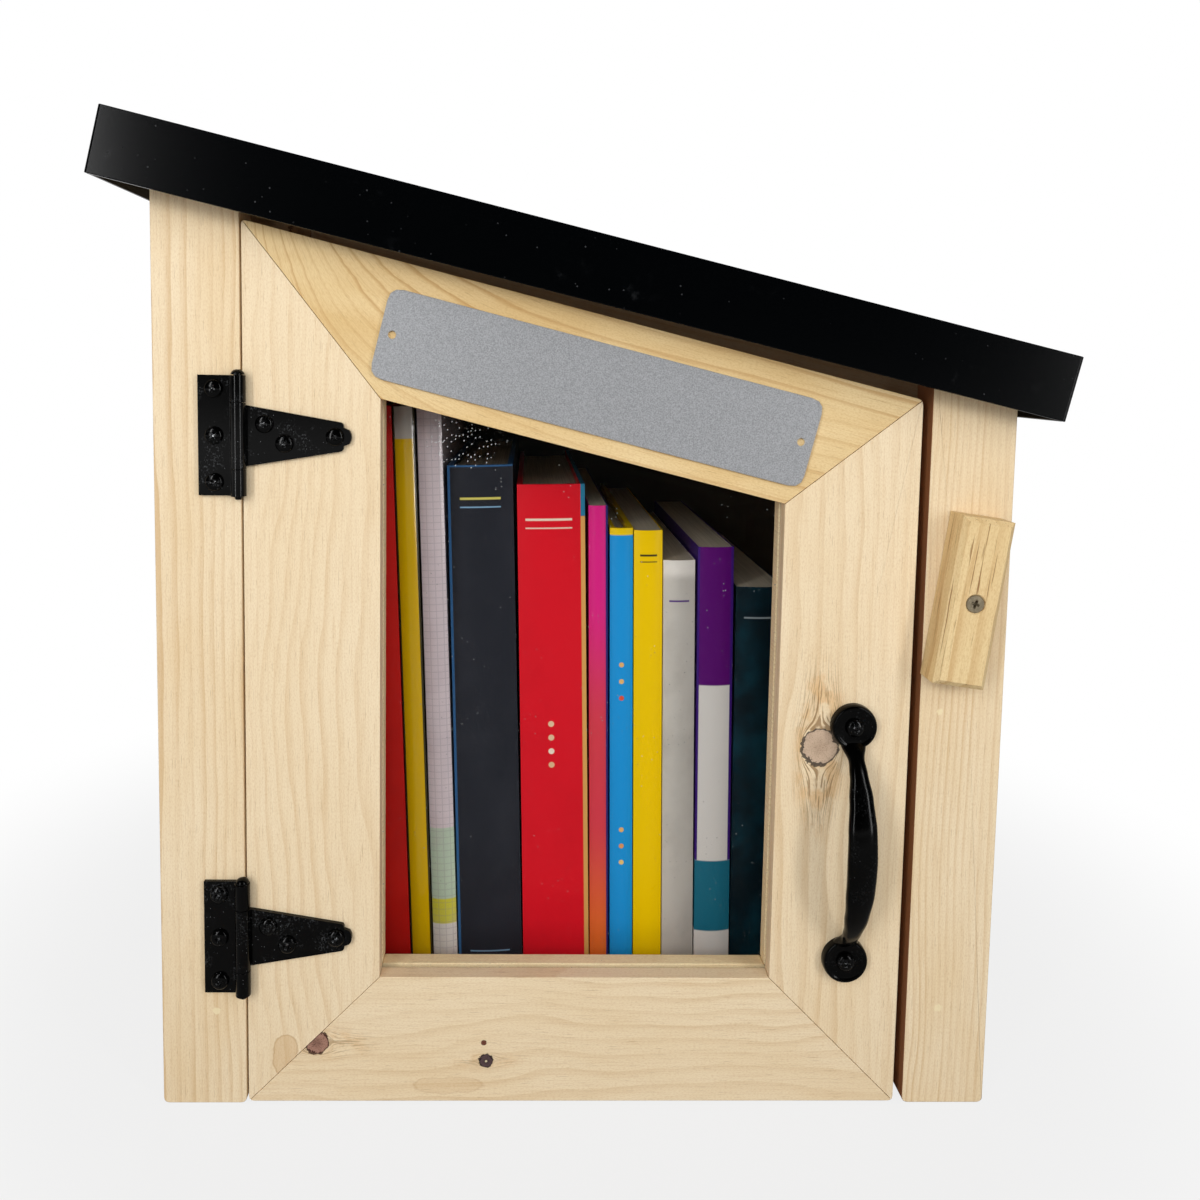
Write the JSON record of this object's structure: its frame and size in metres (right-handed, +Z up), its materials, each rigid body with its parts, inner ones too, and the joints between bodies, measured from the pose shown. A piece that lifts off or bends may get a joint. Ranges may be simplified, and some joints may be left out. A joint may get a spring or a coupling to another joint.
{
  "type": "street book exchange box",
  "caption": "Small pine book box with a one-way sloping black metal roof, a glazed door on strap hinges, a bow pull and a wooden turn button, holding a row of books.",
  "frame": {"origin": "middle of the underside of the floor panel", "axes": "+Z up, -Y out of the door's face, +X to the latch side, seen from the front"},
  "size_m": [0.4183, 0.3245, 0.445],
  "materials": {
    "pine": "planed, clear satin",
    "glazing_bead": "planed",
    "plywood": "bare",
    "roof_metal": "satin black",
    "black_hardware": "satin black",
    "pull_iron": "gloss black",
    "bronze_screw": "dull",
    "sign_metal": "speckled matt",
    "clear_pane": "clear",
    "book_01": "printed cover, bare spine",
    "book_02": "printed cover, bare spine",
    "book_03": "printed cover, bare spine",
    "book_04": "printed cover, bare spine",
    "book_05": "printed cover, bare spine",
    "book_06": "printed cover, bare spine",
    "book_07": "printed cover, bare spine",
    "book_08": "printed cover, bare spine",
    "book_09": "printed cover, bare spine",
    "book_10": "printed cover, bare spine",
    "book_11": "printed cover, bare spine",
    "book_12": "printed cover, bare spine",
    "book_13": "printed cover, bare spine"
  },
  "bodies": {
    "case": {"left_face_stile": "pine", "right_face_stile": "pine", "header_rail": "pine", "left_side_panel": "pine", "right_side_panel": "pine", "back_panel": "plywood", "floor_panel": "plywood", "roof_deck": "plywood", "roof_cap": "roof_metal", "upper_hinge_leaf": "black_hardware", "lower_hinge_leaf": "black_hardware", "upper_hinge_pin": "black_hardware", "lower_hinge_pin": "black_hardware", "upper_leaf_screw_1": "black_hardware", "upper_leaf_screw_2": "black_hardware", "upper_leaf_screw_3": "black_hardware", "lower_leaf_screw_1": "black_hardware", "lower_leaf_screw_2": "black_hardware", "lower_leaf_screw_3": "black_hardware", "turn_button_screw": "bronze_screw", "book_01": "book_01", "book_02": "book_02", "book_03": "book_03", "book_04": "book_04", "book_05": "book_05", "book_06": "book_06", "book_07": "book_07", "book_08": "book_08", "book_09": "book_09", "book_10": "book_10", "book_11": "book_11", "book_12": "book_12", "book_13": "book_13"},
    "door": {"door_bottom_rail": "pine", "door_latch_stile": "pine", "door_top_rail": "pine", "door_hinge_stile": "pine", "glazing_bead_bottom": "glazing_bead", "glazing_bead_right": "glazing_bead", "glazing_bead_top": "glazing_bead", "glazing_bead_left": "glazing_bead", "window_pane": "clear_pane", "sign_plate": "sign_metal", "upper_hinge_strap": "black_hardware", "lower_hinge_strap": "black_hardware", "upper_strap_screw_1": "black_hardware", "upper_strap_screw_2": "black_hardware", "upper_strap_screw_3": "black_hardware", "lower_strap_screw_1": "black_hardware", "lower_strap_screw_2": "black_hardware", "lower_strap_screw_3": "black_hardware", "door_pull": "pull_iron", "upper_pull_screw": "black_hardware", "lower_pull_screw": "black_hardware"},
    "turn_button": {"turn_button": "pine"}
  },
  "joints": [
    {"name": "door_swing", "type": "hinge", "parent": "case", "child": "door", "pos_m": [-0.15255, -0.1437, 0.195], "axis": [0, 0, -1], "range_deg": [0, 170]},
    {"name": "turn_button_swing", "type": "hinge", "parent": "case", "child": "turn_button", "pos_m": [0.1685, -0.14, 0.241], "axis": [0, 1, 0], "continuous": true}
  ]
}
